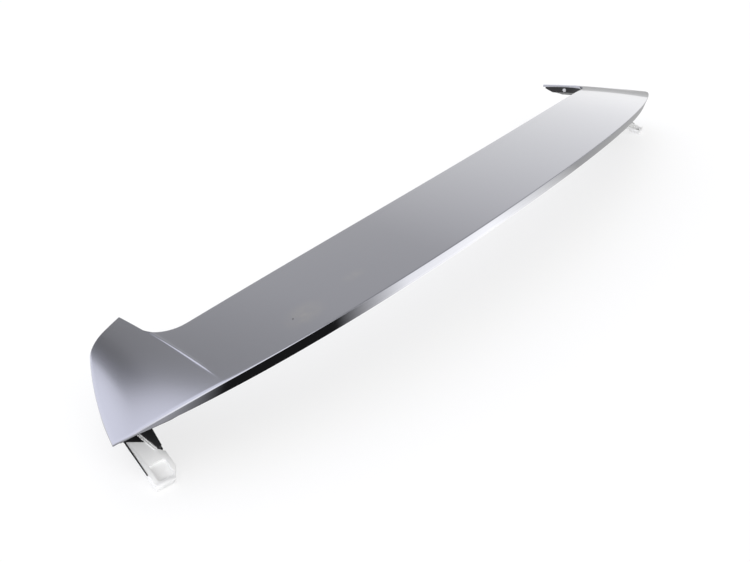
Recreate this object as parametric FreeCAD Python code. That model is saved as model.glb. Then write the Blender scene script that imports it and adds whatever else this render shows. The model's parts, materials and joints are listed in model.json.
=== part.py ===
import FreeCAD, Part
import functools
import math
import os
from FreeCAD import Placement, Rotation, Vector

# Tailgate spoiler with drooping side wings, in millimetres.
# +X is the car's right, +Y is forward, +Z is up. The origin lies on the tailgate skin,
# midway between the two inner studs.

# Span and chord
half_span = 600.0          # centre plane to the rear corner of a wing
lead_y = 45.0              # leading edge at the centre, ahead of the inner studs
chord = 128.0              # leading edge to trailing edge at the centre

# Leading edge: how far it bows forward and drops, as square and fourth powers of the span
lead_bow = 50.0
lead_sweep = 36.0
lead_crown = 30.0
lead_droop = 35.0

# Trailing edge, the same way
trail_rise = 3.0           # trailing edge above the leading edge at the centre
trail_bow = 75.0
trail_sweep = 43.0
trail_crown = 43.5
trail_droop = 18.5
blade_crown = 1.2          # swell of the blade at mid chord

# Wing: distances in from the half span, and forward of the inner studs
tip_inset = 128.8
tip_y = 165.0
crease_rear_inset = 96.4
crease_rear_y = -5.0
shoulder_inset = 88.0
shoulder_y = 166.0
corner_inset = 2.5
corner_y = 38.5
side_bulge = 5.0           # how far the side edge bows out of a straight line
crease_land = 1.0          # wing's inner edge outboard of the crease
notch_radius = 32.0        # hollow corner between leading edge and wing
shoulder_radius = 40.0
panel_kink = 0.10          # change of slope at the crease, at the wing's tip
panel_curl = 0.0010        # growth of that slope for each millimetre outboard
kink_rear_share = 0.15     # share of the kink that is left at the trailing edge

# Painted upper shell
skin_wall = 3.0
rim_depth = 4.0
rim_wall = 3.0
band_depth = 15.6          # height of the trailing-edge band
band_lean = 5.4            # how far the band's foot tucks forward
band_end_depth = 4.6       # height of the band at the wing's corner
band_fade_power = 8        # how late the band fades towards the corner

# Black lower shell
seam_gap = 0.2             # glue line between the two shells
shell_depth = 13.0         # painted surface to the underside of the lower shell
shell_wall = 2.5
nose_edge = 1.5            # side of the lower shell left at the wing's tip
nose_slope = 29.0          # degrees that its floor climbs to the tip
tail_slope = 29.0          # degrees that it climbs to the band's foot behind the wing
rib_wall = 2.0
rib_gap = 0.4              # ribs stop short of the painted skin
rib_count = 5              # cross ribs on each half of the blade
rib_first_x = 40.0
rib_end_inset = 160.0      # last rib in from the half span

# Studs, their bosses and foam washers
inner_stud_x = 170.0
inner_stud_y = 0.0
outer_stud_x = 400.0
outer_stud_y = 20.0
stud_radius = 3.0
stud_length = 18.0         # below the washer
stud_collar_radius = 3.6   # thicker part in the washer and the boss
stud_set = 7.0             # length moulded into the boss
boss_radius = 11.0
boss_height = 8.5          # boss below the lower shell
washer_radius = 13.0
washer_thick = 4.0
washer_clearance = 0.4

# Foam seal under the leading edge
seal_inset = 8.0
seal_width = 8.0
seal_thick = 5.0
seal_gap = 0.2             # tape between foam and shell
lead_seal_end_inset = 170.0  # seal's end in from the half span

# Retainer clip: the end of its tongue, measured from the wing's rear corner
clip_end_inset = 34.4
clip_end_behind = 16.5
clip_end_drop = 61.8
clip_splay = 13.5          # degrees outward from straight back
clip_dip = 25.3            # degrees below level
clip_outer = 8.0           # widths either side of the tongue's axis
clip_inner = 18.5
clip_end_inner = 11.0
clip_neck_inner = 13.0
clip_root_inner = 4.0
clip_length = 68.0
clip_shoulder = 30.0       # wide part of the tongue
clip_corner = 13.0         # length of the slanting end corner
clip_thick = 5.5
pocket_edge = 5.0          # wall left round the pocket
pocket_length = 19.0
pocket_depth = 3.5
pocket_radius = 3.0
lip_height = 2.0
lip_width = 2.4
clip_rib_width = 0.9
clip_rib_height = 1.0
clip_rib_pitch = 2.2

# End bracket: a leg under the wing with a channel that takes the clip
clip_gap = 0.2
channel_floor = 2.8
floor_inset = 4.0          # floor kept this far inside the tongue's outer side
fin_wall = 1.2
fin_end = 16.0             # fin stops this far short of the tongue's end
fin_rise = 0.4             # fin above and below the tongue's upper face
fin_drop = 1.4
gusset_end = 36.0
gusset_tip_width = 4.0
gusset_height = 3.0
leg_length = 20.0
leg_wall = 2.5
flange_thick = 3.0
flange_reach = 14.0        # flange past the leg
flange_edge = 8.0          # flange kept this far inside the wing's outline
screw_radius = 2.0
screw_clearance = 0.2      # in the flange
screw_head_radius = 4.6    # over the hexagon's corners
screw_head_height = 2.6
screw_reach = 10.0         # shank above the flange's pad
pad_width = 10.0           # square pads under the screw heads
pad_depth = 2.4
screw_offset = 16.0        # screws from the leg's middle, along the car

# Plugs that pin the two shells together at the notch
plug_y = 129.0
plug_below = 8.5           # under the painted surface
plug_head_radius = 3.0
plug_head_thick = 1.3
plug_radius = 1.6
plug_length = 6.0
plug_clearance = 0.1

# Reach of the construction solids past the part
beyond = 60.0
deep = 260.0

mirror_plane = (Vector(0, 0, 0), Vector(1, 0, 0))


def lead_edge(x):
    share = abs(x) / half_span
    y = lead_y + lead_bow * share**2 + lead_sweep * share**4
    z = -lead_crown * share**2 - lead_droop * share**4
    return y, z


def trail_edge(x):
    share = abs(x) / half_span
    y = lead_y - chord + trail_bow * share**2 + trail_sweep * share**4
    z = trail_rise - trail_crown * share**2 - trail_droop * share**4
    return y, z


def blade_height(x, y):
    front_y, front_z = lead_edge(x)
    rear_y, rear_z = trail_edge(x)
    along = (front_y - y) / (front_y - rear_y)
    return front_z + (rear_z - front_z) * along + 4 * blade_crown * along * (1 - along)


# Crease line in plan, on the right wing
tip = Vector(half_span - tip_inset, tip_y, 0)
crease_rear = Vector(half_span - crease_rear_inset, crease_rear_y, 0)
crease_way = (tip - crease_rear).normalize()
crease_out = Vector(crease_way.y, -crease_way.x, 0)


def crease_x(y):
    return tip.x + (y - tip.y) * crease_way.x / crease_way.y


def panel_height(x, y):
    out = x - crease_x(y)
    fade = (y - crease_rear.y) / (tip.y - crease_rear.y)
    strength = kink_rear_share + (1 - kink_rear_share) * fade
    return blade_height(x, y) - strength * (panel_kink * out + panel_curl * out**2)


def skin_height(x, y):
    x = abs(x)
    low = min(blade_height(x, y), panel_height(x, y)) if x > crease_x(y) else blade_height(x, y)
    return datum + low


# The inner bosses fix how high the skin stands above the tailgate
datum = washer_thick + boss_height + shell_depth - blade_height(inner_stud_x, inner_stud_y)


def spread(first, last, count):
    return [first + (last - first) * i / (count - 1) for i in range(count)]


def spline_edge(points):
    curve = Part.BSplineCurve()
    curve.interpolate(points)
    return curve.toShape()


def spline_face(rows):
    surface = Part.BSplineSurface()
    surface.interpolate(rows)
    return surface.toShape()


def on_right(shape):
    return shape


def on_left(shape):
    return shape.mirror(*mirror_plane)


def moved(shape, x=0.0, y=0.0, z=0.0):
    copy = shape.copy()
    copy.translate(Vector(x, y, z))
    return copy


def upright(radius, x, y, low, high):
    return Part.makeCylinder(radius, high - low, Vector(x, y, low))


def solid_under_skin():
    # Everything below the painted surface: the blade, with both wings planed down from the crease
    reach = half_span + beyond
    rows = []
    for x in spread(-reach, reach, 17):
        front_y = lead_edge(x)[0]
        rear_y = trail_edge(x)[0]
        row = []
        for along in spread(-0.8, 1.4, 9):
            y = front_y + (rear_y - front_y) * along
            row.append(Vector(x, y, datum + blade_height(x, y)))
        rows.append(row)
    blade = spline_face(rows).extrude(Vector(0, 0, -deep))
    rows = []
    for y in spread(crease_rear_y - beyond, tip_y + beyond / 2, 9):
        middle = crease_x(y)
        columns = spread(middle - beyond, middle + crease_rear_inset + beyond, 9)
        rows.append([Vector(x, y, datum + panel_height(x, y)) for x in columns])
    above_panel = spline_face(rows).extrude(Vector(0, 0, deep))
    return blade.cut(above_panel).cut(on_left(above_panel))


def lead_point(x, inset):
    # Point of the leading edge moved square to it, into the part
    step = 0.5
    slope = (lead_edge(x + step)[0] - lead_edge(x - step)[0]) / (2 * step)
    length = math.hypot(1, slope)
    return Vector(x + inset * slope / length, lead_edge(x)[0] - inset / length, 0)


def cross_lines(point, way, other, other_way):
    turn = way.x * other_way.y - way.y * other_way.x
    gap = other - point
    return point + way * ((gap.x * other_way.y - gap.y * other_way.x) / turn)


def side_arc():
    shoulder = Vector(half_span - shoulder_inset, shoulder_y, 0)
    corner = Vector(half_span - corner_inset, corner_y, 0)
    line = corner - shoulder
    radius = ((line.Length / 2)**2 + side_bulge**2) / (2 * side_bulge)
    out = Vector(-line.y, line.x, 0).normalize()
    return shoulder, corner, (shoulder + corner) / 2 - out * (radius - side_bulge), radius


def edges_at(shape, corner):
    # Upright edges at a corner of the plan, on both sides of the centre plane
    found = []
    for edge in shape.Edges:
        middle = edge.CenterOfMass
        upright_edge = edge.BoundBox.ZLength > deep
        if upright_edge and abs(abs(middle.x) - corner.x) + abs(middle.y - corner.y) < 0.01:
            found.append(edge)
    return found


@functools.lru_cache(maxsize=None)
def plan_prism(inset):
    # Upright prism over the plan, open behind the trailing edge, with its edges moved in by inset
    inner_point = tip + crease_out * (crease_land + inset)
    low, high = tip.x - beyond, tip.x + beyond
    for _ in range(60):
        middle = (low + high) / 2
        if (lead_point(middle, inset) - inner_point).dot(crease_out) < 0:
            low = middle
        else:
            high = middle
    notch = lead_point(low, inset)

    shoulder, corner, centre, radius = side_arc()
    front_way = (shoulder - tip).normalize()
    front_point = tip + Vector(front_way.y, -front_way.x, 0) * inset
    front_inner = cross_lines(inner_point, crease_way, front_point, front_way)
    radius -= inset
    offset = front_point - centre
    reach = offset.dot(front_way)
    front_outer = front_point + front_way * (math.sqrt(reach**2 - offset.dot(offset) + radius**2) - reach)

    def on_arc(angle):
        return centre + Vector(math.cos(angle), math.sin(angle), 0) * radius

    start = math.atan2(front_outer.y - centre.y, front_outer.x - centre.x)
    end = math.atan2(corner.y - centre.y, corner.x - centre.x) - beyond / radius
    side_end = on_arc(end)
    rear_corner = Vector(side_end.x, lead_y - chord - 2 * beyond, 0)
    right = [
        Part.LineSegment(notch, front_inner).toShape(),
        Part.LineSegment(front_inner, front_outer).toShape(),
        Part.Arc(front_outer, on_arc((start + end) / 2), side_end).toShape(),
        Part.LineSegment(side_end, rear_corner).toShape(),
    ]
    left = [on_left(edge) for edge in right]
    front = spline_edge([lead_point(x, inset) for x in spread(-low, low, 17)])
    rear = Part.LineSegment(Vector(-rear_corner.x, rear_corner.y, 0), rear_corner).toShape()
    face = Part.Face(Part.Wire(Part.__sortEdges__([front] + right + left + [rear])))
    prism = moved(face, z=-deep).extrude(Vector(0, 0, 2 * deep))
    prism = prism.makeFillet(notch_radius + inset, edges_at(prism, notch))
    return prism.makeFillet(shoulder_radius - inset, edges_at(prism, front_outer))


@functools.lru_cache(maxsize=None)
def ahead_of_band(inset):
    # Everything ahead of the leaning trailing-edge band, moved forward by inset
    reach = half_span + beyond
    points = []
    for x in spread(-reach, reach, 21):
        y, z = trail_edge(x)
        points.append(Vector(x, y + inset, datum + z))
    lean = Vector(0, band_lean, -band_depth).normalize()
    edge = spline_edge(points)
    edge.translate(lean * -beyond)
    face = edge.extrude(lean * deep)
    return face.extrude(Vector(0, 2 * deep, 0))


def band_foot():
    # Line of the band's foot in plan and height, which climbs towards the corners
    reach = half_span + beyond
    points = []
    for x in spread(-reach, reach, 33):
        fade = min(abs(x) / half_span, 1.0)**band_fade_power
        depth = band_depth + (band_end_depth - band_depth) * fade
        y, z = trail_edge(x)
        points.append(Vector(x, y, datum + z - depth))
    return points


def below_band_foot():
    # Everything below the band's foot, behind the band's inner face
    points = [Vector(point.x, -deep, point.z) for point in band_foot()]
    face = spline_edge(points).extrude(Vector(0, 2 * deep, 0))
    return face.extrude(Vector(0, 0, -deep)).cut(ahead_of_band(rim_wall + seam_gap))


def below_tail():
    # Everything below a slope that falls forward from the band's foot
    fall = Vector(0, 1, -math.tan(math.radians(tail_slope)))
    edge = spline_edge(band_foot())
    edge.translate(fall * -beyond)
    return edge.extrude(fall * deep).extrude(Vector(0, 0, -2 * deep))


under_skin = solid_under_skin()


def under(drop):
    return moved(under_skin, z=-drop)


def trimmed(drop, inset):
    # What lies below the skin by drop, with the plan and the trailing edge moved in by inset
    return under(drop).common(plan_prism(inset)).common(ahead_of_band(inset))


def make_upper_shell():
    inside = ahead_of_band(rim_wall)
    shell = trimmed(0, 0).cut(under(rim_depth).common(inside))
    shell = shell.cut(under(skin_wall).common(plan_prism(rim_wall)).common(inside))
    return shell.cut(below_band_foot()).removeSplitter()


def make_studs():
    studs = []
    for x, y, seat in stud_places():
        collar = upright(stud_collar_radius, x, y, seat, seat + washer_thick + stud_set)
        studs.append(collar.fuse(upright(stud_radius, x, y, seat - stud_length, seat)))
    return Part.makeCompound(studs)


def stud_places():
    # Each stud's place, with the height of the tailgate skin at it
    places = []
    for x, y in ((inner_stud_x, inner_stud_y), (outer_stud_x, outer_stud_y)):
        seat = skin_height(x, y) - shell_depth - boss_height - washer_thick
        places += [(x, y, seat), (-x, y, seat)]
    return places


def make_washers():
    rings = []
    for x, y, seat in stud_places():
        ring = upright(washer_radius, x, y, seat, seat + washer_thick)
        hole = upright(stud_collar_radius + washer_clearance, x, y, seat, seat + washer_thick)
        rings.append(ring.cut(hole))
    return Part.makeCompound(rings)


def clip_frame():
    corner_y_at_trail, corner_z = trail_edge(half_span)
    end = Vector(
        half_span - clip_end_inset,
        corner_y_at_trail - clip_end_behind,
        datum + corner_z - clip_end_drop,
    )
    return Placement(end, Rotation(180 + clip_splay, 0, -clip_dip))


def in_clip_frame(shape):
    return shape.transformGeometry(clip_frame().toMatrix())


def plate(corners, low, high):
    # Flat plate from a polygon, between two heights
    points = [Vector(x, y, low) for x, y in corners]
    return Part.Face(Part.makePolygon(points + points[:1])).extrude(Vector(0, 0, high - low))


@functools.lru_cache(maxsize=None)
def make_clip():
    # White tongue: X points inboard, Y towards its free end, Z out of its upper face
    body = plate([
        (-clip_outer, 0), (clip_end_inner, 0), (clip_inner, -clip_corner), (clip_inner, -clip_shoulder),
        (clip_neck_inner, -clip_shoulder - clip_inner + clip_neck_inner),
        (clip_root_inner, -clip_length), (-clip_outer, -clip_length),
    ], -clip_thick, 0)
    pocket = Part.makeBox(
        clip_inner + clip_outer - 2 * pocket_edge, pocket_length, pocket_depth + 1,
        Vector(-clip_outer + pocket_edge, -pocket_edge - pocket_length, -pocket_depth))
    upright_edges = [e for e in pocket.Edges if e.BoundBox.ZLength > pocket_depth]
    body = body.cut(pocket.makeFillet(pocket_radius, upright_edges))
    lip = Part.makeBox(
        clip_outer + clip_end_inner, lip_width, lip_height, Vector(-clip_outer, -lip_width, 0))
    body = body.fuse(lip)
    for row in range(2):
        body = body.fuse(clip_rib(row * clip_rib_pitch))
    return in_clip_frame(body.removeSplitter())


def clip_rib(shift):
    # Low rib along the slanting inner edge of the tongue's neck
    start = (clip_root_inner - clip_rib_width - shift, -clip_length)
    end = (clip_neck_inner - clip_rib_width - shift, -clip_shoulder - clip_inner + clip_neck_inner)
    corners = [start, end, (end[0] + clip_rib_width, end[1]), (start[0] + clip_rib_width, start[1])]
    return plate(corners, 0, clip_rib_height)


def leg_box(grow):
    # Upright leg over the tongue's root, made wider or narrower by grow
    frame = clip_frame()
    root = frame.multVec(Vector(0, -clip_length, 0))
    width = clip_outer + clip_inner + 2 * (clip_gap + fin_wall) + 2 * grow
    box = Part.makeBox(width, leg_length + 2 * grow, deep, Vector(
        -clip_outer - clip_gap - fin_wall - grow, -leg_length + clip_gap + leg_wall - grow, -clip_thick * 2))
    box.rotate(Vector(0, 0, 0), Vector(0, 0, 1), 180 + clip_splay)
    return moved(box, root.x, root.y, root.z)


def screw_places():
    # Screws fore and aft of the leg, with the height of the pad that each head bears on
    frame = clip_frame()
    middle = leg_box(0).CenterOfMass
    way = frame.Rotation.multVec(Vector(0, 1, 0))
    way = Vector(way.x, way.y, 0).normalize()
    places = []
    for side in (-1, 1):
        spot = middle + way * (side * screw_offset)
        height = skin_height(spot.x, spot.y) - shell_depth - flange_thick - pad_depth
        places.append((spot.x, spot.y, height))
    return places


def make_bracket():
    # Channel under and beside the tongue
    outer = -clip_outer - clip_gap - fin_wall
    inner = clip_inner + clip_gap + fin_wall
    floor_top = -clip_thick - clip_gap
    floor_outer = floor_inset - clip_outer
    floor = plate([
        (floor_outer, -gusset_end), (inner, -gusset_end), (inner, -clip_length), (floor_outer, -clip_length),
    ], floor_top - channel_floor, floor_top)
    fin = plate([
        (outer, -clip_length), (outer + fin_wall / 2, -fin_end),
        (outer + fin_wall, -fin_end), (outer + fin_wall, -clip_length),
    ], -fin_drop, fin_rise)
    gusset_tip = clip_neck_inner + clip_gap
    gusset_tip_y = -clip_shoulder - clip_inner + clip_neck_inner - clip_gap
    gusset = plate([
        (gusset_tip, gusset_tip_y), (gusset_tip + gusset_tip_width, gusset_tip_y),
        (inner, -clip_length), (clip_root_inner + 2 * clip_gap, -clip_length),
    ], floor_top, gusset_height)
    channel = in_clip_frame(floor.fuse(fin).fuse(gusset))

    # Hollow leg up to the lower shell, open behind for the tongue
    leg = leg_box(0).cut(leg_box(-leg_wall))
    flange = leg_box(flange_reach).common(plan_prism(flange_edge))
    flange = flange.cut(leg_box(-leg_wall)).cut(under(shell_depth + flange_thick))
    bracket = channel.fuse(leg).fuse(flange)
    for x, y, height in screw_places():
        pad_corner = Vector(x - pad_width / 2, y - pad_width / 2, height)
        bracket = bracket.fuse(Part.makeBox(pad_width, pad_width, flange_thick, pad_corner))
        bracket = bracket.cut(upright(screw_radius + screw_clearance, x, y, height - 1, height + deep))
    return bracket.common(under(shell_depth)).cut(make_clip()).removeSplitter()


def make_screws():
    # Hexagon-head screws, from below
    screws = []
    for x, y, height in screw_places():
        corners = []
        for turn in range(6):
            angle = math.radians(60 * turn)
            corners.append((x + screw_head_radius * math.cos(angle), y + screw_head_radius * math.sin(angle)))
        head = plate(corners, height - screw_head_height, height)
        screws.append(head.fuse(upright(screw_radius, x, y, height, height + screw_reach)))
    return screws


def make_plug():
    # Axis square to the wing's inner edge, head towards the notch
    foot = tip + crease_way * ((plug_y - tip.y) / crease_way.y)
    wall_face = foot + crease_out * (crease_land + rim_wall + seam_gap)
    wall_face.z = skin_height(wall_face.x, wall_face.y) - plug_below
    front = wall_face - crease_out * plug_head_thick
    head = Part.makeCylinder(plug_head_radius, plug_head_thick, front, crease_out)
    pin = Part.makeCylinder(plug_radius, plug_length, wall_face, crease_out)
    return head.fuse(pin), wall_face


def below_nose():
    # Everything below a copy of the skin that is tipped down behind the wings' front edges
    wedge = under(skin_wall + seam_gap + nose_edge)
    hinge = Vector(0, tip_y, skin_height(tip.x, tip_y) - skin_wall - seam_gap - nose_edge)
    wedge.rotate(hinge, Vector(1, 0, 0), nose_slope)
    return wedge


def make_lower_shell():
    outer_inset = rim_wall + seam_gap
    inner_inset = outer_inset + shell_wall
    tray = trimmed(skin_wall + seam_gap, outer_inset).cut(under(shell_depth))
    hollow = trimmed(0, inner_inset).cut(under(shell_depth - shell_wall))
    for slope in (below_nose(), below_tail()):
        tray = tray.cut(slope)
        hollow = hollow.cut(moved(slope, z=shell_wall))
    shell = tray.cut(hollow)
    # Cross ribs between the floor and the skin, on both halves
    ribs = []
    for x in spread(rib_first_x, half_span - rib_end_inset, rib_count):
        rib = Part.makeBox(rib_wall, 4 * deep, 2 * deep, Vector(x - rib_wall / 2, -2 * deep, -deep))
        ribs += [rib, on_left(rib)]
    web = trimmed(skin_wall + seam_gap + rib_gap, inner_inset - shell_wall / 2)
    web = web.cut(under(shell_depth - shell_wall / 2)).common(Part.makeCompound(ribs))
    added = list(web.Solids)
    # Stud bosses below the floor
    for x, y, seat in stud_places():
        boss = upright(boss_radius, x, y, seat + washer_thick, seat + washer_thick + deep)
        added.append(boss.common(under(shell_depth - shell_wall / 2)))
    # Holes for the studs, the bracket screws and the plugs
    wall_face = make_plug()[1]
    plug_hole = Part.makeCylinder(
        plug_radius + plug_clearance, 2 * shell_wall, wall_face - crease_out * shell_wall / 2, crease_out)
    removed = [plug_hole, on_left(plug_hole)] + make_studs().Solids
    for x, y, height in screw_places():
        hole = upright(screw_radius, x, y, height, height + screw_reach)
        removed += [hole, on_left(hole)]
    return shell.fuse(added).cut(removed).removeSplitter()


def make_lead_seal():
    # Foam strip under the lower shell that follows the leading edge
    strip = plan_prism(seal_inset).cut(plan_prism(seal_inset + seal_width))
    strip = strip.common(under(shell_depth + seal_gap)).cut(under(shell_depth + seal_gap + seal_thick))
    end_x = half_span - lead_seal_end_inset
    zone = Part.makeBox(
        2 * end_x, 2 * deep, 2 * deep, Vector(-end_x, lead_y - chord / 2, -deep))
    return strip.common(zone)


def save(name, shape):
    for solid in shape.Solids:
        if not solid.isValid():
            print("not valid:", name)
    print(f"{name}: {len(shape.Solids)} solids, {shape.Volume / 1000:.1f} cm3")
    shape.exportStep(f"parts/{name}.step")


def main():
    os.makedirs("parts", exist_ok=True)
    save("upper_shell", make_upper_shell())
    save("lower_shell", make_lower_shell())
    save("leading_edge_seal", make_lead_seal())
    save("mounting_studs", make_studs())
    save("stud_washers", make_washers())
    bracket = make_bracket()
    clip = make_clip()
    for side, place in (("left", on_left), ("right", on_right)):
        save(f"{side}_end_bracket", place(bracket))
        save(f"{side}_retainer_clip", place(clip))
    screws = make_screws()
    save("bracket_screws", Part.makeCompound(screws + [on_left(screw) for screw in screws]))
    plug = make_plug()[0]
    save("seam_plugs", Part.makeCompound([plug, on_left(plug)]))


main()
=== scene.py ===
import json
import math
import bmesh
import bpy
from mathutils import Matrix, Vector
from mathutils.kdtree import KDTree


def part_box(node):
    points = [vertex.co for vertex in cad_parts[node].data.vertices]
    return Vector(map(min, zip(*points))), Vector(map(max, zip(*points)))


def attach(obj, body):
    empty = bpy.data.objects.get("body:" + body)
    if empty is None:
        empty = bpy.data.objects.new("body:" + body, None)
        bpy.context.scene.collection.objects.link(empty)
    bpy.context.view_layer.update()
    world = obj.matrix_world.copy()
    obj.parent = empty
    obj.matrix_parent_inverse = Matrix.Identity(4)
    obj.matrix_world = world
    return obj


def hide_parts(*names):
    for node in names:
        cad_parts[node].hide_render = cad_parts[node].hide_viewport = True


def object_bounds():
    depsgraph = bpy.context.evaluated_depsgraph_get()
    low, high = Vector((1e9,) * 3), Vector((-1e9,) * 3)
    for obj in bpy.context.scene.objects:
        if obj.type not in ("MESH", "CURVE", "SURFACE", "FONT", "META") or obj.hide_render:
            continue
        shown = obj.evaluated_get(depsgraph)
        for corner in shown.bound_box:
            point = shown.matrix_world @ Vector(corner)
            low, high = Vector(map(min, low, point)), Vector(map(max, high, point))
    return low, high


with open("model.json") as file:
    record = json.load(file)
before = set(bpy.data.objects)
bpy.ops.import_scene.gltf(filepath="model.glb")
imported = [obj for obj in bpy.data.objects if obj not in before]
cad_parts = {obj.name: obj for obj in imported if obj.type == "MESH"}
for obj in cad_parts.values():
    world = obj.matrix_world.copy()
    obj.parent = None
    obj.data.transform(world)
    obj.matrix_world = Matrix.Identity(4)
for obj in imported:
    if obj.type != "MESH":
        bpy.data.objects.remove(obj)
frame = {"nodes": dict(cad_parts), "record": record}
cadLow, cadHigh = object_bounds()
nodes = frame["nodes"]
mm = 0.001
print("frame loaded:", len(nodes), "nodes")


# Painted skin, in millimetres. Edge curves are square and fourth powers of the share of the half span.
skin = {
    "halfSpan": 600.0,
    "lead": (45.0, 50.0, 36.0, 0.0, -30.0, -35.0),     # y then z of the leading edge
    "trail": (-83.0, 75.0, 43.0, 3.0, -43.5, -18.5),   # y then z of the trailing edge
    "crown": 1.2,
    "datum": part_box("upper_shell")[1].z / mm,           # top of the skin, corrected below
    "tip": (471.2, 165.0),
    "creaseRear": (503.6, -5.0),
    "shoulder": (512.0, 165.9),
    "corner": (597.5, 38.5),
    "sideBulge": 5.0,
    "creaseLand": 1.0,
    "notchRadius": 32.0,
    "shoulderRadius": 40.0,
    "tipRadius": 0.8,
    "leastTipRadius": 0.4,
    "kink": 0.10,
    "curl": 0.0010,
    "rearShare": 0.15,
    "creaseHalfWidth": 1.6,     # rounding of the crease
    "ridge": 0.23,              # slight bead along the crease
    "ridgeWidth": 1.2,
    "ridgeFade": 0.28,          # bead dies out over this share of the crease, at its rear
    "wall": 3.0,
    "rimDepth": 4.0,
    "bandDepth": 16.8,
    "bandLean": 5.815,
    "bandEndDepth": 4.6,
    "bandFade": 8,
    "bandBlend": 16.0,          # band turns into the rim over this length at the corner
    "bandLeast": 2.2,
    "cornerEase": (14.0, 3.5),  # trailing edge moves forward over its last length, and by how much
    "cornerRim": (45.0, 0.55),  # side rim thins towards the corner over this length, to this share
    "edgeRadius": 1.1,
    "bandRadius": (0.6, 1.5),   # rounding over the band, in the middle and near the corner
    "bandRoll": (495.0, 60.0),  # where that rounding starts to grow, and over which length
    "footRadius": 0.35,
    "edgeSteps": 6,             # steps round the painted edge, and round the foot
    "footSteps": 3,
    "wallShares": (0.35, 0.7),  # steps down the rim and the band between them
    "leadColumns": 120,
    "bladeRows": 38,
    "innerRows": 18,
    "notchRows": 5,
    "tipRows": 3,
    "tipSteps": 6,
    "shoulderSteps": 24,
    "sideSteps": 60,
    "creaseSteps": (29.3, 24.0, 19.5, 15.5, 12.0, 9.0, 6.5, 4.5, 3.0, 2.2, 1.6, 1.2, 0.8, 0.4, 0.0),
    "panelSteps": (0.0, 0.4, 0.8, 1.2, 1.6, 2.2, 3.0, 4.5, 6.5, 9.0, 12.0),
    "panelColumns": 26,
    "notchSpan": (380, 520),    # where the notch, the crease's end and the corner are looked for
    "creaseEndSpan": (430, 590),
    "cornerSpan": (0, 90),
    "merge": 0.005,
    "mirrorMerge": 0.01,
    "crispAngle": 40,
}


def edgeCurve(key, x):
    # y and z of the leading or trailing edge
    y0, y2, y4, z0, z2, z4 = skin[key]
    share = abs(x) / skin["halfSpan"]
    return y0 + y2 * share**2 + y4 * share**4, z0 + z2 * share**2 + z4 * share**4


def plan(x, y):
    return Vector((x, y))


tip = plan(*skin["tip"])
creaseWay = (tip - plan(*skin["creaseRear"])).normalized()
creaseOut = plan(creaseWay.y, -creaseWay.x)
innerEdge = tip + creaseOut * skin["creaseLand"]


def creaseX(y):
    return tip.x + (y - tip.y) * creaseWay.x / creaseWay.y


def rounded(out, width):
    # distance outboard of the crease, with the corner at zero rounded off
    if out > width:
        return out
    return (out + width)**2 / (4 * width) if out > -width else 0.0


def smooth(t):
    t = min(max(t, 0.0), 1.0)
    return t * t * (3 - 2 * t)


def rawHeight(x, y):
    x = abs(x)
    frontY, frontZ = edgeCurve("lead", x)
    rearY, rearZ = edgeCurve("trail", x)
    back = (frontY - y) / (frontY - rearY)
    blade = frontZ + (rearZ - frontZ) * back + 4 * skin["crown"] * back * (1 - back)
    out = x - creaseX(y)
    fade = (y - skin["creaseRear"][1]) / (tip.y - skin["creaseRear"][1])
    strength = skin["rearShare"] + (1 - skin["rearShare"]) * fade
    over = rounded(out, skin["creaseHalfWidth"])
    bead = skin["ridge"] * smooth(fade / skin["ridgeFade"]) * math.exp(-(out / skin["ridgeWidth"])**2)
    return blade - strength * (skin["kink"] * over + skin["curl"] * over**2) + bead


# The highest point of the CAD skin fixes the height of the formula
chord = round(skin["lead"][0] - skin["trail"][0])
topRaw = max(rawHeight(0.0, edgeCurve("lead", 0)[0] - step) for step in range(chord + 1))
skin["datum"] -= topRaw


def skinHeight(x, y):
    return skin["datum"] + rawHeight(x, y)


def leadPoint(x, inset):
    # leading edge moved square to itself, into the part
    slope = (edgeCurve("lead", x + 0.5)[0] - edgeCurve("lead", x - 0.5)[0]) if x > 0.5 else 0.0
    length = math.hypot(1, slope)
    return plan(x + inset * slope / length, edgeCurve("lead", x)[0] - inset / length)


def halve(low, high, isLow, rounds=60):
    # bisection for the place where a test turns over
    for _ in range(rounds):
        middle = (low + high) / 2
        if isLow(middle):
            low = middle
        else:
            high = middle
    return low


# Centres of the outline's arcs
notchRadius = skin["notchRadius"]


def inboardOfNotch(x):
    return (leadPoint(x, -notchRadius) - innerEdge).dot(creaseOut) < -notchRadius


notchX = halve(*skin["notchSpan"], inboardOfNotch)
notchCentre = leadPoint(notchX, -notchRadius)
shoulder = plan(*skin["shoulder"])
sideLine = plan(*skin["corner"]) - shoulder
bulge = skin["sideBulge"]
sideRadius = ((sideLine.length / 2)**2 + bulge**2) / (2 * bulge)
sideOut = plan(-sideLine.y, sideLine.x).normalized()
sideCentre = shoulder + sideLine / 2 - sideOut * (sideRadius - bulge)
frontWay = (shoulder - tip).normalized()
frontIn = plan(frontWay.y, -frontWay.x)
shoulderStart = tip + frontIn * skin["shoulderRadius"] - sideCentre
reach = shoulderStart.dot(frontWay)
shoulderReach = math.sqrt(
    reach**2 - shoulderStart.dot(shoulderStart) + (sideRadius - skin["shoulderRadius"])**2) - reach
shoulderCentre = sideCentre + shoulderStart + frontWay * shoulderReach


def sidePoint(y, inset):
    radius = sideRadius - inset
    return plan(sideCentre.x + math.sqrt(radius**2 - (y - sideCentre.y)**2), y)


def trailDrop(x, y):
    # how far the skin lies below the band's top line
    return max(edgeCurve("trail", x)[1] - rawHeight(x, y), 0.0)


def trailY(x):
    # the band leans forward, so the trailing edge moves forward where the wing droops
    start = edgeCurve("trail", x)[0]
    y = start
    for _ in range(4):
        y = start + trailDrop(x, y) * skin["bandLean"] / skin["bandDepth"]
    length, most = skin["cornerEase"]
    return y + most * smooth((x - skin["corner"][0] + length) / length)


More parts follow.
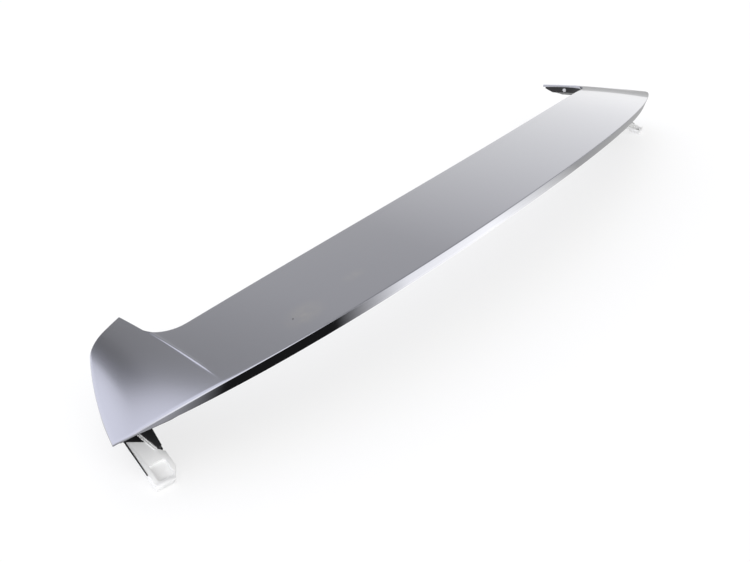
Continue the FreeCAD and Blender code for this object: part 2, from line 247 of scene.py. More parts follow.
def cornerPoint(inset):
    y = halve(*skin["cornerSpan"], lambda y: trailY(sidePoint(y, inset).x) + inset > y)
    return sidePoint(y, inset)


def runLengths(points):
    lengths = [0.0]
    for a, b in zip(points, points[1:]):
        lengths.append(lengths[-1] + (b - a).length)
    return lengths


def along(points, shares):
    # points at given shares of a chain's length
    lengths = runLengths(points)
    found = []
    k = 0
    for share in shares:
        want = share * lengths[-1]
        while k < len(points) - 2 and lengths[k + 1] < want:
            k += 1
        span = lengths[k + 1] - lengths[k]
        found.append(points[k].lerp(points[k + 1], (want - lengths[k]) / span))
    return found


def arcPoints(centre, radius, start, end, count):
    turns = [start + (end - start) * i / count for i in range(count + 1)]
    return [centre + plan(math.cos(turn), math.sin(turn)) * radius for turn in turns]


def angleOf(way):
    return math.atan2(way.y, way.x)


outAngle = angleOf(creaseOut)
bladeAcross = skin["leadColumns"] + len(skin["creaseSteps"]) - 1
panelAcross = len(skin["panelSteps"]) - 1 + skin["panelColumns"]
bladeAlong = skin["bladeRows"]
panelAlong = bladeAlong + skin["notchRows"] + skin["innerRows"] + skin["tipRows"]


def trailX(offset):
    # where a line beside the crease meets the trailing edge
    return halve(*skin["creaseEndSpan"], lambda x: (plan(x, trailY(x)) - tip).dot(creaseOut) < offset)


trailFirst = trailX(-skin["creaseSteps"][0])
bladeTrailX = [trailFirst * i / skin["leadColumns"] for i in range(skin["leadColumns"])]
bladeTrailX += [trailX(-step) for step in skin["creaseSteps"]]
panelShares = [step / 100 for step in skin["panelSteps"]]
panelShares += [
    panelShares[-1] + (1 - panelShares[-1]) * (i + 1) / skin["panelColumns"]
    for i in range(skin["panelColumns"])]


cornerX = cornerPoint(0).x


def bandShare(x):
    # 1 along the band, 0 at the corner, where the band has become the rim
    return smooth((cornerX - x) / skin["bandBlend"])


def rimShare(point):
    # the side's rim thins towards the rear corner
    length, least = skin["cornerRim"]
    away = (point - plan(*skin["corner"])).length
    return least + (1 - least) * smooth(away / length)


def ring(rimInset, rimDrop, bandInset, bandDrop):
    # Right half of the outline at one step of the edge profile, with how far each point lies below
    # the skin. It is a dictionary of chains, each running from the rear or the middle.
    corner = cornerPoint(rimInset)
    creaseTrail = bladeTrailX[-1]
    trail = []
    xs = bladeTrailX + [creaseTrail + (corner.x - creaseTrail) * share for share in panelShares[1:]]
    dropTrail = []
    for x in xs:
        share = bandShare(x) if x < corner.x - 1e-6 else 0.0
        inset = rimInset + (bandInset(x) - rimInset) * share
        trail.append(plan(x, trailY(x) + inset))
        cornerDrop = rimDrop * skin["cornerRim"][1]
        dropTrail.append(cornerDrop + (bandDrop(x) - cornerDrop) * share)
    trail[-1] = corner

    # inner edge: crease crossing on the notch arc, straight inner edge, half of the tip's arc
    radius = notchRadius + rimInset
    crossing = math.acos((notchRadius - skin["creaseLand"]) / radius)
    arcB = arcPoints(notchCentre, radius, outAngle - crossing, outAngle, skin["notchRows"])
    tipRadius = max(skin["tipRadius"] - rimInset, skin["leastTipRadius"])
    edgeA = innerEdge + creaseOut * rimInset
    edgeB = tip + frontIn * rimInset
    a = edgeA + creaseOut * tipRadius
    b = edgeB + frontIn * tipRadius
    turn = creaseWay.x * frontWay.y - creaseWay.y * frontWay.x
    gap = b - a
    tipCentre = a + creaseWay * ((gap.x * frontWay.y - gap.y * frontWay.x) / turn)
    startTip = outAngle + math.pi
    endTip = angleOf(-frontIn)
    if endTip > startTip:
        endTip -= 2 * math.pi
    midTip = (startTip + endTip) / 2
    tipA = arcPoints(tipCentre, tipRadius, startTip, midTip, skin["tipRows"])
    straight = [arcB[-1].lerp(tipA[0], i / skin["innerRows"]) for i in range(1, skin["innerRows"])]
    inner = arcB + straight + tipA

    # front edge to the middle of the shoulder's arc, then the side edge down to the corner
    tipB = arcPoints(tipCentre, tipRadius, midTip, endTip, skin["tipSteps"])
    arcRadius = skin["shoulderRadius"] - rimInset
    startShoulder = angleOf(-frontIn)
    endShoulder = angleOf(shoulderCentre - sideCentre)
    midShoulder = (startShoulder + endShoulder) / 2
    count = skin["shoulderSteps"]
    front = tipB + arcPoints(shoulderCentre, arcRadius, startShoulder, midShoulder, count)
    front = along(front, panelShares)
    side = arcPoints(shoulderCentre, arcRadius, midShoulder, endShoulder, count)
    sideTop = side[-1].y
    count = skin["sideSteps"]
    side += [sidePoint(sideTop + (corner.y - sideTop) * i / count, rimInset) for i in range(1, count + 1)]
    side[-1] = corner

    # leading edge, with the part of the notch arc on the blade's side of the crease
    lead = [leadPoint(notchX * i / skin["leadColumns"], rimInset) for i in range(skin["leadColumns"])]
    firstTurn = angleOf(leadPoint(notchX, rimInset) - notchCentre) - outAngle
    for k, step in enumerate(skin["creaseSteps"]):
        # the first column starts where the leading edge meets the arc
        cosine = (notchRadius - skin["creaseLand"] - step) / radius
        turn = -math.acos(max(min(cosine, 1.0), -1.0))
        if k == 0:
            turn = firstTurn
        lead.append(notchCentre + plan(math.cos(outAngle + turn), math.sin(outAngle + turn)) * radius)
    return {
        "trail": trail, "trailDrop": dropTrail, "inner": inner, "front": front,
        "side": side, "lead": lead, "drop": rimDrop,
    }


def creaseColumn(points):
    start = points["trail"][bladeAcross]
    end = points["inner"][0]
    return [start.lerp(end, j / bladeAlong) for j in range(bladeAlong + 1)] + points["inner"][1:]


def lengthShares(points):
    lengths = runLengths(points)
    return [length / lengths[-1] for length in lengths]


def sideColumn(points, shares):
    # side edge up from the corner, spaced as the crease's column is
    return along(points["side"], [1 - share for share in reversed(shares)])[::-1]


def chain(points):
    # the whole edge in order: trailing edge, side, front, inner edge, leading edge
    rowShares = lengthShares(creaseColumn(points))
    run = list(zip(points["trail"], points["trailDrop"]))
    run += [(p, points["drop"] * rimShare(p)) for p in sideColumn(points, rowShares)[1:]]
    for part in ("front", "inner", "lead"):
        run += [(p, points["drop"]) for p in points[part][::-1][1:]]
    return run


def onSkin(point, drop):
    return Vector((point.x, point.y, skinHeight(point.x, point.y) - drop)) * mm


def layGrid(bm, columns, rows, place):
    # flat grid whose corners are sent to their places on the skin
    made = bmesh.ops.create_grid(bm, x_segments=columns, y_segments=rows, size=1.0)["verts"]
    for vert in made:
        i = round((vert.co.x + 1) / 2 * columns)
        j = round((vert.co.y + 1) / 2 * rows)
        vert.co = place(i, j)


def laySheet(bm, points, depth):
    # blade and wing panel of the right half, bounded by one ring, thinner towards the rear corner
    def place(point):
        return onSkin(point, depth * rimShare(point))

    def bladePlace(i, j):
        return place(points["trail"][i].lerp(points["lead"][i], j / bladeAlong))

    creaseUp = creaseColumn(points)
    shares = lengthShares(creaseUp)
    sideUp = sideColumn(points, shares)
    trail = points["trail"][bladeAcross:]
    front = points["front"]

    def panelPlace(i, j):
        u = panelShares[i]
        v = shares[j]
        flat = trail[i] * (1 - v) + front[i] * v + creaseUp[j] * (1 - u) + sideUp[j] * u
        flat -= (trail[0] * (1 - u) + trail[-1] * u) * (1 - v) + (front[0] * (1 - u) + front[-1] * u) * v
        return place(flat)

    layGrid(bm, bladeAcross, bladeAlong, bladePlace)
    layGrid(bm, panelAcross, panelAlong, panelPlace)


def bandDepthAt(x):
    # height of the band below the skin
    fade = min(abs(x) / skin["halfSpan"], 1.0)**skin["bandFade"]
    depth = skin["bandDepth"] + (skin["bandEndDepth"] - skin["bandDepth"]) * fade
    return max(depth - trailDrop(x, trailY(x)), skin["bandLeast"])


def bandRadiusAt(x):
    # the edge over the band is crisp along the blade and rolls over softly near the corner
    least, most = skin["bandRadius"]
    start, length = skin["bandRoll"]
    wanted = least + (most - least) * smooth((x - start) / length)
    return min(wanted, (bandDepthAt(x) - skin["footRadius"]) / 2)


def edgeProfile():
    # steps from the skin round the painted edge, under the rim and up to the skin's underside
    radius = skin["edgeRadius"]
    foot = skin["footRadius"]
    lean = math.atan2(skin["bandLean"], skin["bandDepth"])
    slope = math.tan(lean)
    wall = skin["wall"]
    steps = []
    centreShare = (1 + math.sin(lean)) / math.cos(lean)
    for i in range(skin["edgeSteps"] + 1):
        turnRim = math.pi / 2 * i / skin["edgeSteps"]
        turnBand = (math.pi / 2 + lean) * i / skin["edgeSteps"]
        steps.append((
            radius * (1 - math.sin(turnRim)), radius * (1 - math.cos(turnRim)),
            lambda x, t=turnBand: bandRadiusAt(x) * (centreShare - math.sin(t)),
            lambda x, t=turnBand: bandRadiusAt(x) * (1 - math.cos(t)),
        ))
    for share in skin["wallShares"]:
        rimDrop = radius + (skin["rimDepth"] - foot - radius) * share

        def bandDrop(x, share=share):
            start = bandRadiusAt(x) * (1 + math.sin(lean))
            return start + (bandDepthAt(x) - foot - start) * share

        steps.append((0.0, rimDrop, lambda x, d=bandDrop: d(x) * slope, bandDrop))
    for i in range(skin["footSteps"] + 1):
        turn = math.pi / 2 * i / skin["footSteps"]
        inset = foot * (1 - math.cos(turn))
        rise = foot * (1 - math.sin(turn))
        steps.append((
            inset, skin["rimDepth"] - rise,
            lambda x, r=rise, n=inset: (bandDepthAt(x) - r) * slope + n,
            lambda x, r=rise: bandDepthAt(x) - r,
        ))
    steps.append((
        wall, skin["rimDepth"],
        lambda x: wall + bandDepthAt(x) * slope, lambda x: bandDepthAt(x)))
    steps.append((wall, wall, lambda x: wall + wall * slope, lambda x: wall))
    return steps


def sharpenEdges(bm, degrees):
    # smooth faces, with edges over an angle kept crisp
    for face in bm.faces:
        face.smooth = True
    for edge in bm.edges:
        if len(edge.link_faces) == 2 and edge.calc_face_angle(0) > math.radians(degrees):
            edge.smooth = False


def mirrorHalf(bm, merge):
    bmesh.ops.mirror(bm, geom=bm.verts[:] + bm.edges[:] + bm.faces[:], axis="X", merge_dist=merge * mm)


def roundEdges(bm, edges, radius):
    bmesh.ops.bevel(
        bm, geom=edges, offset=radius, offset_type="OFFSET", affect="EDGES", segments=2,
        profile=0.5, material=-1, clamp_overlap=True)


def countOpen(bm, name):
    print(name, "open edges:", sum(not edge.is_manifold for edge in bm.edges))


def finishPiece(bm, name, material, slot, *replaced):
    mesh = bpy.data.meshes.new(name)
    bm.to_mesh(mesh)
    bm.free()
    piece = bpy.data.objects.new(name, mesh)
    bpy.context.scene.collection.objects.link(piece)
    piece.data.materials.append(material)
    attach(piece, "root")
    if replaced:
        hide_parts(*replaced)
    print("piece:", name, len(mesh.polygons), "faces")


def makePaintedSkin(material):
    bm = bmesh.new()
    rings = [ring(*step) for step in edgeProfile()]
    underside = rings[-1]
    underside["trailDrop"] = [skin["wall"] * rimShare(point) for point in underside["trail"]]
    laySheet(bm, rings[0], 0.0)
    bmesh.ops.remove_doubles(bm, verts=bm.verts, dist=skin["merge"] * mm)

    def offCentre(edge):
        return any(vert.co.x > skin["mirrorMerge"] * mm for vert in edge.verts)

    edges = [edge for edge in bm.edges if edge.is_boundary and offCentre(edge)]
    for before, after in zip(rings, rings[1:]):
        startRun = [onSkin(p, d) for p, d in chain(before)]
        endRun = [onSkin(p, d) for p, d in chain(after)]
        finder = KDTree(len(startRun))
        for k, co in enumerate(startRun):
            finder.insert(co, k)
        finder.balance()
        grown = bmesh.ops.extrude_edge_only(bm, edges=edges)["geom"]
        fresh = {item for item in grown if isinstance(item, bmesh.types.BMVert)}
        for vert in fresh:
            vert.co = endRun[finder.find(vert.co)[1]]
        edges = [
            item for item in grown
            if isinstance(item, bmesh.types.BMEdge) and all(v in fresh for v in item.verts)]
    laySheet(bm, underside, skin["wall"])
    bmesh.ops.remove_doubles(bm, verts=bm.verts, dist=skin["merge"] * mm)
    mirrorHalf(bm, skin["mirrorMerge"])
    bmesh.ops.remove_doubles(bm, verts=bm.verts, dist=skin["merge"] * mm)
    bmesh.ops.recalc_face_normals(bm, faces=bm.faces)
    countOpen(bm, "skin")
    sharpenEdges(bm, skin["crispAngle"])
    finishPiece(bm, "painted_skin", material, "silver_paint", "upper_shell")


def newMaterial(name, look):
    # principled shader with its fixed values, ready for texture nodes
    material = bpy.data.materials.new(name)
    material.use_nodes = True
    tree = material.node_tree
    shader = tree.nodes["Principled BSDF"]
    shader.inputs["Base Color"].default_value = (*look["colour"], 1.0)
    shader.inputs["Roughness"].default_value = look["roughness"]
    shader.inputs["Metallic"].default_value = look.get("metallic", 0.0)
    shader.inputs["Coat Weight"].default_value = look.get("coat", 0.0)
    shader.inputs["Coat Roughness"].default_value = look.get("coatRoughness", 0.03)
    return material, tree, shader


def addNode(tree, kind, **values):
    node = tree.nodes.new(kind)
    for key, value in values.items():
        setattr(node, key, value)
    return node


def objectCoords(tree):
    return addNode(tree, "ShaderNodeTexCoord").outputs["Object"]


def noise(tree, coords, scale, detail):
    node = addNode(tree, "ShaderNodeTexNoise")
    node.inputs["Scale"].default_value = scale
    node.inputs["Detail"].default_value = detail
    tree.links.new(coords, node.inputs["Vector"])
    return node.outputs["Fac"]


def mapRange(tree, value, low, high, toLow, toHigh, kind="SMOOTHSTEP"):
    node = addNode(tree, "ShaderNodeMapRange", interpolation_type=kind)
    for key, number in (("From Min", low), ("From Max", high), ("To Min", toLow), ("To Max", toHigh)):
        node.inputs[key].default_value = number
    tree.links.new(value, node.inputs["Value"])
    return node.outputs["Result"]


def mathNode(tree, operation, first, second):
    node = addNode(tree, "ShaderNodeMath", operation=operation)
    tree.links.new(first, node.inputs[0])
    if isinstance(second, float):
        node.inputs[1].default_value = second
    else:
        tree.links.new(second, node.inputs[1])
    return node.outputs["Value"]


def rampNode(tree, value, stops):
    # grey ramp from pairs of place and level
    ramp = addNode(tree, "ShaderNodeValToRGB")
    elements = ramp.color_ramp.elements
    for number, (place, level) in enumerate(stops):
        stop = elements[number] if number < 2 else elements.new(place)
        stop.position = place
        stop.color = (level, level, level, 1.0)
    tree.links.new(value, ramp.inputs["Fac"])
    return ramp.outputs["Color"]


def spot(tree, coords, place, turn, radii, soft, thick=0.02):
    # 1 inside a turned ellipse on the skin, 0 outside
    mapping = addNode(tree, "ShaderNodeMapping", vector_type="TEXTURE")
    mapping.inputs["Location"].default_value = place
    mapping.inputs["Rotation"].default_value = (0, 0, math.radians(turn))
    mapping.inputs["Scale"].default_value = (radii[0], radii[1], thick)
    tree.links.new(coords, mapping.inputs["Vector"])
    length = addNode(tree, "ShaderNodeVectorMath", operation="LENGTH")
    tree.links.new(mapping.outputs["Vector"], length.inputs[0])
    return mapRange(tree, length.outputs["Value"], 1.0 - soft, 1.0, 1.0, 0.0)


def mixColour(tree, factor, first, second):
    node = addNode(tree, "ShaderNodeMix", data_type="RGBA")
    tree.links.new(factor, node.inputs["Factor"])
    for socket, value in ((node.inputs[6], first), (node.inputs[7], second)):
        if isinstance(value, tuple):
            socket.default_value = (*value, 1.0)
        else:
            tree.links.new(value, socket)
    return node.outputs[2]


def addBump(tree, shader, height, distance, socket="Normal"):
    bump = addNode(tree, "ShaderNodeBump")
    bump.inputs["Strength"].default_value = 1.0
    bump.inputs["Distance"].default_value = distance
    tree.links.new(height, bump.inputs["Height"])
    tree.links.new(bump.outputs["Normal"], shader.inputs[socket])


silverPaint = {
    "colour": (0.43, 0.435, 0.485),
    "roughness": 0.14,
    "metallic": 1.0,
    "coat": 1.0,
    "coatRoughness": 0.02,
    "peelScale": 260.0,                     # slight unevenness of the clear coat
    "peelDepth": 0.000004,
    "speck": (-0.4082, -0.0075, 0.006),     # dark grain of dirt
    "speckSize": (0.0013, 0.0010),
    "speckColour": (0.06, 0.06, 0.06),
    "speckTurn": 25.0,
    "speckRoughness": 0.7,
    # pale wiped dust: place, turn, half lengths and strength of each smear
    "smears": (
        ((-0.397, -0.0121, 0.0074), -4.0, (0.034, 0.020), 0.42),
        ((-0.3206, -0.0145, 0.0162), -12.0, (0.019, 0.011), 0.30),
    ),
    "smearColour": (0.58, 0.56, 0.53),
    "patchScale": 70.0,                     # unevenness of the smears
    "patchRange": (0.30, 0.62, 0.35, 1.0),
}


def makePaint(look):
    material, tree, shader = newMaterial("silver_paint_coat", look)
    coords = objectCoords(tree)
    addBump(tree, shader, noise(tree, coords, look["peelScale"], 1.0), look["peelDepth"], "Coat Normal")
    patchy = mapRange(tree, noise(tree, coords, look["patchScale"], 2.0), *look["patchRange"])
    hazes = []
    for place, turn, radii, strength in look["smears"]:
        haze = spot(tree, coords, place, turn, radii, 1.0)
        hazes.append(mathNode(tree, "MULTIPLY", haze, strength))
    wiped = mathNode(tree, "MULTIPLY", mathNode(tree, "MAXIMUM", *hazes), patchy)
    dirty = spot(tree, coords, look["speck"], look["speckTurn"], look["speckSize"], 0.5)
    colour = mixColour(tree, wiped, look["colour"], look["smearColour"])
    colour = mixColour(tree, dirty, colour, look["speckColour"])
    tree.links.new(colour, shader.inputs["Base Color"])
    rough = mapRange(tree, dirty, 0.0, 1.0, look["roughness"], look["speckRoughness"])
    tree.links.new(rough, shader.inputs["Roughness"])
    return material


blackPlastic = {"colour": (0.012, 0.012, 0.013), "roughness": 0.42, "grain": 1600.0, "depth": 0.00003}
whitePlastic = {"colour": (0.89, 0.89, 0.885), "roughness": 0.38, "grain": 500.0, "depth": 0.000006}
greyPlastic = {"colour": (0.50, 0.50, 0.51), "roughness": 0.45, "grain": 900.0, "depth": 0.00001}
foam = {"colour": (0.018, 0.018, 0.019), "roughness": 0.92, "grain": 1300.0, "depth": 0.0003}
zincSteel = {
    "colour": (0.62, 0.62, 0.59), "roughness": 0.30, "metallic": 1.0, "grain": 900.0, "depth": 0.00001,
}


def makePlain(name, look):
    material, tree, shader = newMaterial(name, look)
    addBump(tree, shader, noise(tree, objectCoords(tree), look["grain"], 2.0), look["depth"])
    return material


finishes = {
    "silver_paint": makePaint(silverPaint),
    "black_plastic": makePlain("black_moulding", blackPlastic),
    "white_plastic": makePlain("white_moulding", whitePlastic),
    "grey_plastic": makePlain("grey_moulding", greyPlastic),
    "foam": makePlain("seal_foam", foam),
    "zinc_steel": makePlain("zinc_plate", zincSteel),
}
slots = {}
for entry in frame["record"]["subparts"]:
    slots[entry["node"]] = entry["material_slot"]
    node = nodes[entry["node"]]
    node.data.materials.clear()
    node.data.materials.append(finishes[entry["material_slot"]])
print("finishes made:", len(finishes))

makePaintedSkin(finishes["silver_paint"])


# Pieces whose CAD shape only needs its edges rounded: name, node, radius in millimetres
roundedPieces = (
    ("left_tongue", "left_retainer_clip", 0.35),
    ("right_tongue", "right_retainer_clip", 0.35),
    ("left_leg", "left_end_bracket", 0.3),
    ("right_leg", "right_end_bracket", 0.3),
    ("foam_washers", "stud_washers", 0.8),
    ("notch_plugs", "seam_plugs", 0.4),
    ("leg_screws", "bracket_screws", 0.35),
)
rounding = {
    "merge": 0.002,
    "flatAngle": 0.6,       # faces closer than this are joined before the rounding
    "sharpAngle": 35,       # edges over this are rounded
    "crispAngle": 40,
}


def makeRounded(name, nodeName, radius):
    node = nodes[nodeName]
    bm = bmesh.new()
    bm.from_mesh(node.data)
    bm.transform(node.matrix_world)
    bmesh.ops.remove_doubles(bm, verts=bm.verts, dist=rounding["merge"] * mm)
    bmesh.ops.dissolve_limit(
        bm, angle_limit=math.radians(rounding["flatAngle"]), verts=bm.verts, edges=bm.edges,
        delimit={"NORMAL"})
    least = math.radians(rounding["sharpAngle"])
    inner = [edge for edge in bm.edges if len(edge.link_faces) == 2]
    roundEdges(bm, [edge for edge in inner if edge.calc_face_angle(0) > least], radius * mm)
    bmesh.ops.triangulate(bm, faces=[face for face in bm.faces if len(face.verts) > 4])
    sharpenEdges(bm, rounding["crispAngle"])
    finishPiece(bm, name, finishes[slots[nodeName]], slots[nodeName], nodeName)


for entry in roundedPieces:
    makeRounded(*entry)


# Black lip of the legs over the root of each tongue, in the right tongue's own frame, in millimetres;
# partly a black edge of the legs and partly painted shade, a dark piece where the wing's corner shades the
# tongue
lip = {
    "tongueEnd": (565.6, 18.5, -94.6),
    "yaw": 193.5,
    "dip": -25.3,
    "corners": ((-7.9, -66.0), (0.9, -66.0), (-7.9, -55.0), (6.0, -47.2)),
    "low": 0.05,
    "high": 0.85,
    "radius": 0.2,
    "merge": 0.001,
    "crispAngle": 50,
}


# black piece that is partly the legs' edge and partly painted shade under the wing's corner
def makeShadeLips():
    bm = bmesh.new()
    for vert in bmesh.ops.create_grid(bm, x_segments=1, y_segments=1, size=1.0)["verts"]:
        corner = lip["corners"][(vert.co.x > 0) + 2 * (vert.co.y > 0)]
        vert.co = (*corner, lip["low"])
    grown = bmesh.ops.extrude_face_region(bm, geom=bm.faces[:])["geom"]
    raised = [item for item in grown if isinstance(item, bmesh.types.BMVert)]
    bmesh.ops.translate(bm, verts=raised, vec=(0, 0, lip["high"] - lip["low"]))
    roundEdges(bm, bm.edges[:], lip["radius"])
    turn = Matrix.Rotation(math.radians(lip["yaw"]), 4, "Z")
    turn = turn @ Matrix.Rotation(math.radians(lip["dip"]), 4, "X")
    bm.transform(Matrix.Scale(mm, 4) @ Matrix.Translation(lip["tongueEnd"]) @ turn)
    mirrorHalf(bm, lip["merge"])
    bmesh.ops.recalc_face_normals(bm, faces=bm.faces)
    countOpen(bm, "lip")
    sharpenEdges(bm, lip["crispAngle"])
    finishPiece(bm, "leg_lips_and_painted_shade", finishes["black_plastic"], "black_plastic")


makeShadeLips()


# Threaded studs, in millimetres
stud = {
    "radius": 3.0,
    "collarRadius": 3.6,
    "length": 18.0,
    "collarLength": 11.0,
    "pitch": 1.0,
    "threadDepth": 0.5,
    "plainEnd": 1.0,        # chamfered end without thread
    "chamfer": 0.7,
    "around": 28,
    "rowsPerTurn": 6,
    "places": ((170.0, 0.0), (400.0, 20.0)),
    "belowSkin": 25.5,      # foot of the boss that holds the stud
    "merge": 0.002,
    "crispAngle": 50,
}


def makeStuds():
    bm = bmesh.new()
    height = stud["length"] + stud["collarLength"]
    core = stud["radius"] - stud["threadDepth"]
    rows = int(height * stud["rowsPerTurn"] / stud["pitch"])
    for x, y in stud["places"]:
        seat = skinHeight(x, y) - stud["belowSkin"]
        for side in (-1, 1):
            made = bmesh.ops.create_grid(bm, x_segments=stud["around"], y_segments=rows, size=1.0)["verts"]
            for vert in made:
                turn = (vert.co.x + 1) / 2
                up = (vert.co.y + 1) / 2 * height
                wave = abs((up / stud["pitch"] - turn) % 1.0 - 0.5) * 2
                radius = stud["radius"] - stud["threadDepth"] * wave
                if up < stud["plainEnd"]:
                    radius = core - stud["chamfer"] * (1 - up / stud["plainEnd"])
                if up > stud["length"]:
                    radius = stud["collarRadius"]
                angle = turn * 2 * math.pi
                vert.co = Vector((
                    side * x + radius * math.cos(angle), y + radius * math.sin(angle),
                    seat - stud["length"] + up)) * mm
    bmesh.ops.remove_doubles(bm, verts=bm.verts, dist=stud["merge"] * mm)
    bmesh.ops.holes_fill(bm, edges=[edge for edge in bm.edges if edge.is_boundary], sides=0)
    bmesh.ops.recalc_face_normals(bm, faces=bm.faces)
    countOpen(bm, "stud")
    sharpenEdges(bm, stud["crispAngle"])
    finishPiece(bm, "threaded_studs", finishes["zinc_steel"], "zinc_steel", "mounting_studs")


makeStuds()
print("pieces made")


# Studio: floor, world, cards for reflections only, and the photograph's viewpoint
studio = {
    "floorSpan": (-12, 12, -12, 12),
    "floorDrop": 0.0005,
    "cardLift": 0.0002,
    "floorColour": (0.95, 0.95, 0.95),
    "worldStrength": 1.4,
    "bright": (0.95, 0.96, 1.04),       # soft boxes on the car's left and overhead, as a share
    "brightSide": (0.088, 0.112),       # edge of the left one, in x
    "brightTop": (-0.415, -0.34),       # edge of the one overhead, in x less a part of z
    "topTilt": -0.82,
    "behindEdge": (-0.10, 0.15),        # in y
    # shares of the strength by the direction's x, behind and in front
    "behindRamp": ((0.05, 1.25), (0.13, 1.1), (0.19, 0.5), (0.25, 0.22), (1.0, 0.22)),
    "worldRamp": ((0.15, 0.13), (0.185, 0.245), (0.53, 0.43), (0.70, 0.44), (0.943, 0.80)),
    "dimEdge": (-0.62, -0.42),          # in x, where the light behind dims in reflections
    "dimBehind": (0.70, 0.70, 0.72),
    "shadowShare": 0.30,                # of the floor's shadow that the picture keeps
    # glowing boards on the floor, seen in reflections only, which paint reflections onto the paint: span,
    # strength, and levels along x
    #     # the near one is grey, black, white and grey again, with soft edges between; its black stretch
    #     is painted shade standing in for the part's shadow on the floor, and its white and grey are
    #     painted reflection
    "paintedBandShadeReflection": ((-0.70, 0.86, -0.20, 0.16), 1.65, (
        (-0.55, 0.36), (-0.48, 0.01), (-0.32, 0.01), (-0.19, 0.88), (0.0, 0.93), (0.28, 0.27))),
    # the far board is a painted grey reflection on the far wing's panel
    "paintedFarReflection": ((0.9, 6.0, -0.4, 3.0), 1.0, ((1.0, 0.45), (5.0, 0.55))),
    "cameraPlace": (-1.0032, -0.5332, 0.4511),
    "azimuth": -54.2,
    "elevation": 27.3,
    "roll": -1.9,
    "focalPixels": 963.3,
    "imageWidth": 750,
    "sensorWidth": 36.0,
    "clip": (0.01, 100),
}


def makeSheet(name, span, height, colour):
    # flat sheet of the studio
    bm = bmesh.new()
    bmesh.ops.create_grid(bm, x_segments=1, y_segments=1, size=0.5)
    lowX, highX, lowY, highY = span
    bmesh.ops.scale(bm, verts=bm.verts, vec=(highX - lowX, highY - lowY, 1))
    bmesh.ops.translate(bm, verts=bm.verts, vec=((lowX + highX) / 2, (lowY + highY) / 2, height))
    mesh = bpy.data.meshes.new(name)
    bm.to_mesh(mesh)
    bm.free()
    sheet = bpy.data.objects.new(name, mesh)
    bpy.context.scene.collection.objects.link(sheet)
    material, tree, shader = newMaterial(name + "_finish", {"colour": colour, "roughness": 0.95})
    shader.inputs["Specular IOR Level"].default_value = 0.0
    sheet.data.materials.append(material)
    return sheet, tree, shader


def makeStage():
    height = cadLow.z - studio["floorDrop"]
    _, tree, shader = makeSheet("floor", studio["floorSpan"], height, studio["floorColour"])
    path = addNode(tree, "ShaderNodeLightPath")
    seen = mathNode(tree, "MAXIMUM", path.outputs["Is Camera Ray"], path.outputs["Is Glossy Ray"])
    seen = mathNode(tree, "MAXIMUM", seen, path.outputs["Is Transmission Ray"])
    share = mathNode(tree, "MULTIPLY", seen, 1.0 - studio["shadowShare"])
    white = addNode(tree, "ShaderNodeEmission")
    mix = addNode(tree, "ShaderNodeMixShader")
    tree.links.new(share, mix.inputs[0])
    tree.links.new(shader.outputs[0], mix.inputs[1])
    tree.links.new(white.outputs[0], mix.inputs[2])
    tree.links.new(mix.outputs[0], tree.nodes["Material Output"].inputs["Surface"])
    # both boards glow only in reflections: painted reflection, and painted shade where the near one is
    # black
    for name in ("paintedBandShadeReflection", "paintedFarReflection"):
        span, strength, levels = studio[name]
        card, tree, shader = makeSheet(name, span, height + studio["cardLift"], (0, 0, 0))
        axes = addNode(tree, "ShaderNodeSeparateXYZ")
        tree.links.new(objectCoords(tree), axes.inputs["Vector"])
        share = mapRange(tree, axes.outputs["X"], *span[:2], 0.0, 1.0, "LINEAR")
        stops = [((x - span[0]) / (span[1] - span[0]), level) for x, level in levels]
        tree.links.new(rampNode(tree, share, stops), shader.inputs["Emission Color"])
        shader.inputs["Emission Strength"].default_value = strength
        card.visible_camera = False
        card.visible_diffuse = False
        card.visible_shadow = False


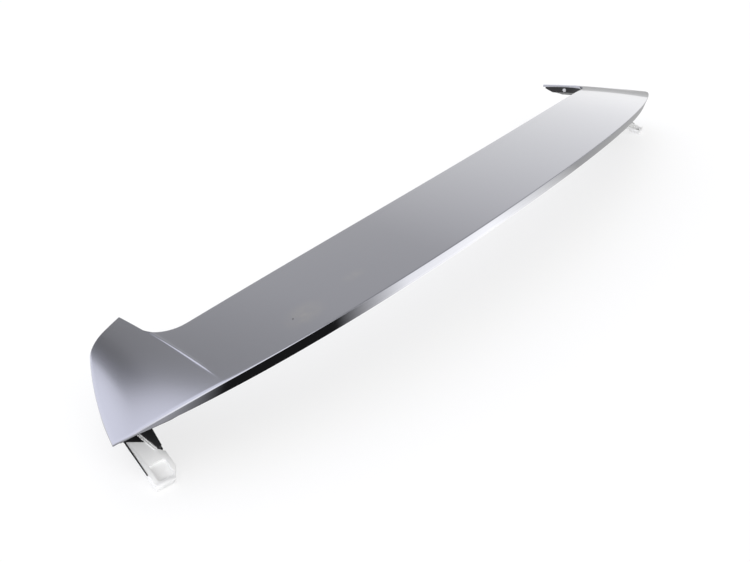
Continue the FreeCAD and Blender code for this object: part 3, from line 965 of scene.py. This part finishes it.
def makeWorld():
    world = bpy.data.worlds.new("studio")
    bpy.context.scene.world = world
    world.use_nodes = True
    tree = world.node_tree
    background = tree.nodes["Background"]
    background.inputs["Strength"].default_value = studio["worldStrength"]
    coords = addNode(tree, "ShaderNodeTexCoord").outputs["Generated"]
    axes = addNode(tree, "ShaderNodeSeparateXYZ")
    tree.links.new(coords, axes.inputs["Vector"])
    colour = rampNode(tree, axes.outputs["X"], studio["worldRamp"])
    tilted = mathNode(tree, "MULTIPLY", axes.outputs["Z"], studio["topTilt"])
    tilted = mathNode(tree, "ADD", axes.outputs["X"], tilted)
    topEdge = mapRange(tree, tilted, *studio["brightTop"], 0.0, 1.0)
    sideEdge = mapRange(tree, axes.outputs["X"], *studio["brightSide"], 0.0, 1.0)
    colour = mixColour(tree, mathNode(tree, "MULTIPLY", topEdge, sideEdge), studio["bright"], colour)
    behind = rampNode(tree, axes.outputs["X"], studio["behindRamp"])
    # dimmer in reflections far to the left, so that the paint stays grey from the front
    path = addNode(tree, "ShaderNodeLightPath")
    dimmer = mapRange(tree, axes.outputs["X"], *studio["dimEdge"], 1.0, 0.0)
    dimmer = mathNode(tree, "MULTIPLY", dimmer, path.outputs["Is Glossy Ray"])
    behind = mixColour(tree, dimmer, behind, studio["dimBehind"])
    edge = mapRange(tree, axes.outputs["Y"], *studio["behindEdge"], 0.0, 1.0)
    colour = mixColour(tree, edge, behind, colour)
    tree.links.new(colour, background.inputs["Color"])

    # plain white where the camera looks past the floor
    seen = mathNode(tree, "MAXIMUM", path.outputs["Is Camera Ray"], path.outputs["Is Transmission Ray"])
    plainWhite = addNode(tree, "ShaderNodeBackground")
    plainWhite.inputs["Color"].default_value = (1, 1, 1, 1)
    mix = addNode(tree, "ShaderNodeMixShader")
    tree.links.new(seen, mix.inputs[0])
    tree.links.new(background.outputs[0], mix.inputs[1])
    tree.links.new(plainWhite.outputs[0], mix.inputs[2])
    tree.links.new(mix.outputs[0], tree.nodes["World Output"].inputs["Surface"])


def makeCamera():
    data = bpy.data.cameras.new("photo_view")
    data.sensor_width = studio["sensorWidth"]
    data.lens = studio["focalPixels"] * data.sensor_width / studio["imageWidth"]
    data.clip_start, data.clip_end = studio["clip"]
    camera = bpy.data.objects.new("photo_view", data)
    a, e, r = (math.radians(studio[key]) for key in ("azimuth", "elevation", "roll"))
    back = Vector((math.sin(a) * math.cos(e), -math.cos(a) * math.cos(e), math.sin(e)))
    right = Vector((math.cos(a), math.sin(a), 0))
    up = back.cross(right)
    turnedRight = right * math.cos(r) + up * math.sin(r)
    turnedUp = up * math.cos(r) - right * math.sin(r)
    turned = Matrix((turnedRight, turnedUp, back)).transposed().to_4x4()
    camera.matrix_world = Matrix.Translation(studio["cameraPlace"]) @ turned
    bpy.context.scene.collection.objects.link(camera)
    bpy.context.scene.camera = camera


makeStage()
makeWorld()
makeCamera()
bpy.context.scene.view_settings.view_transform = "Standard"
print("studio set")
